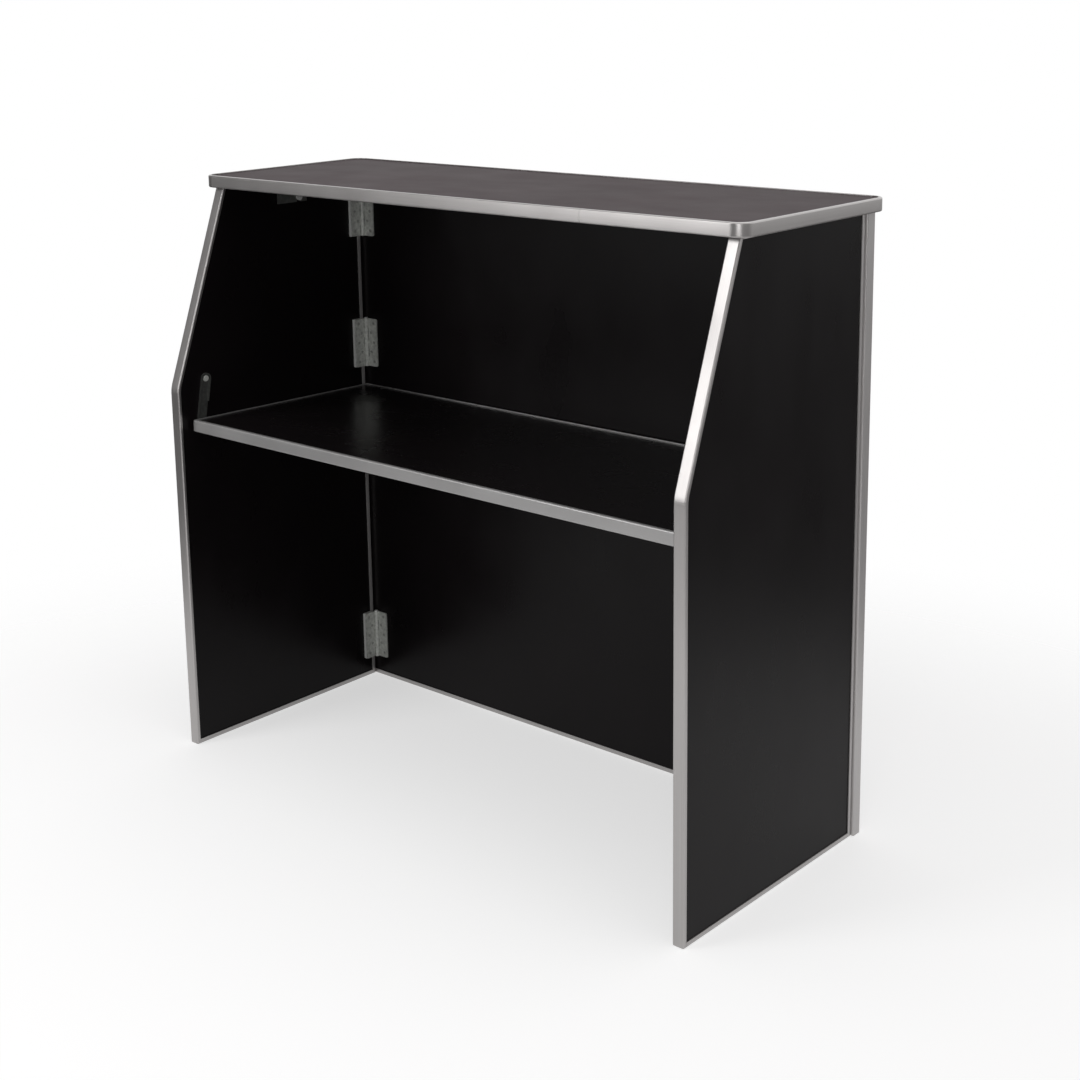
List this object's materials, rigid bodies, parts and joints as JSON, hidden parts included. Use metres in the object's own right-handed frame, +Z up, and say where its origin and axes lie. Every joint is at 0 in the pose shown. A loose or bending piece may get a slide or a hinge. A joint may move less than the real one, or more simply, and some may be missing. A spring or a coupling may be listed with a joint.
{
  "type": "folding portable bar",
  "caption": "Folding portable bar: a front panel, hinged side panels cut back towards the top, a lift-off counter with rounded corners and a lift-out shelf, all edged in metal trim.",
  "frame": {"origin": "on the floor, under the middle of the bar's outer box", "axes": "+X to the right of the person serving, +Y towards the guests, +Z up"},
  "size_m": [1.236, 0.5218, 1.1041],
  "materials": {
    "black_laminate": "near-black satin laminate on board",
    "satin_aluminium": "satin anodised extrusion",
    "zinc_steel": "zinc-plated pressed steel",
    "bright_steel": "bright turned steel"
  },
  "bodies": {
    "front_panel": {"front_board": "black_laminate", "front_trim_left": "satin_aluminium", "front_trim_right": "satin_aluminium", "front_trim_top": "satin_aluminium", "front_trim_bottom": "satin_aluminium", "shelf_ledge_left": "zinc_steel", "shelf_ledge_middle": "zinc_steel", "shelf_ledge_right": "zinc_steel", "left_bottom_hinge_front_leaf": "zinc_steel", "left_bottom_hinge_pin": "bright_steel", "left_middle_hinge_front_leaf": "zinc_steel", "left_middle_hinge_pin": "bright_steel", "left_top_hinge_front_leaf": "zinc_steel", "left_top_hinge_pin": "bright_steel", "right_bottom_hinge_front_leaf": "zinc_steel", "right_bottom_hinge_pin": "bright_steel", "right_middle_hinge_front_leaf": "zinc_steel", "right_middle_hinge_pin": "bright_steel", "right_top_hinge_front_leaf": "zinc_steel", "right_top_hinge_pin": "bright_steel"},
    "left_side_panel": {"left_board": "black_laminate", "left_trim_front": "satin_aluminium", "left_trim_rear": "satin_aluminium", "left_trim_top": "satin_aluminium", "left_trim_bottom": "satin_aluminium", "left_bottom_hinge_side_leaf": "zinc_steel", "left_bottom_hinge_packer": "zinc_steel", "left_middle_hinge_side_leaf": "zinc_steel", "left_middle_hinge_packer": "zinc_steel", "left_top_hinge_side_leaf": "zinc_steel", "left_top_hinge_packer": "zinc_steel", "left_arm_pivot": "bright_steel", "left_keeper": "bright_steel"},
    "right_side_panel": {"right_board": "black_laminate", "right_trim_front": "satin_aluminium", "right_trim_rear": "satin_aluminium", "right_trim_top": "satin_aluminium", "right_trim_bottom": "satin_aluminium", "right_bottom_hinge_side_leaf": "zinc_steel", "right_bottom_hinge_packer": "zinc_steel", "right_middle_hinge_side_leaf": "zinc_steel", "right_middle_hinge_packer": "zinc_steel", "right_top_hinge_side_leaf": "zinc_steel", "right_top_hinge_packer": "zinc_steel", "right_arm_pivot": "bright_steel", "right_keeper": "bright_steel"},
    "left_hook_arm": {"left_hook_arm": "zinc_steel"},
    "right_hook_arm": {"right_hook_arm": "zinc_steel"},
    "counter": {"counter_board": "black_laminate", "counter_trim": "satin_aluminium", "left_counter_cleat": "zinc_steel", "right_counter_cleat": "zinc_steel"},
    "shelf": {"shelf_board": "black_laminate", "shelf_trim": "satin_aluminium", "left_shelf_stud": "bright_steel", "right_shelf_stud": "bright_steel"}
  },
  "joints": [
    {"name": "left_panel_fold", "type": "hinge", "parent": "front_panel", "child": "left_side_panel", "pos_m": [-0.568, 0.2192, 0.54], "axis": [0, 0, 1], "range_deg": [0, 0.25]},
    {"name": "right_panel_fold", "type": "hinge", "parent": "front_panel", "child": "right_side_panel", "pos_m": [0.568, 0.2192, 0.54], "axis": [0, 0, -1], "range_deg": [0, 0.25]},
    {"name": "left_arm_swing", "type": "hinge", "parent": "left_side_panel", "child": "left_hook_arm", "pos_m": [-0.5788, -0.1949, 0.724], "axis": [-1, 0, 0], "range_deg": [0, 23]},
    {"name": "right_arm_swing", "type": "hinge", "parent": "right_side_panel", "child": "right_hook_arm", "pos_m": [0.5788, -0.1949, 0.724], "axis": [-1, 0, 0], "range_deg": [0, 23]},
    {"name": "counter_lift", "type": "slide", "parent": "front_panel", "child": "counter", "axis": [0, 0, 1], "range_m": [0, 0.06]},
    {"name": "shelf_lift", "type": "slide", "parent": "front_panel", "child": "shelf", "axis": [0, 0, 1], "range_m": [0, 0.02]}
  ]
}
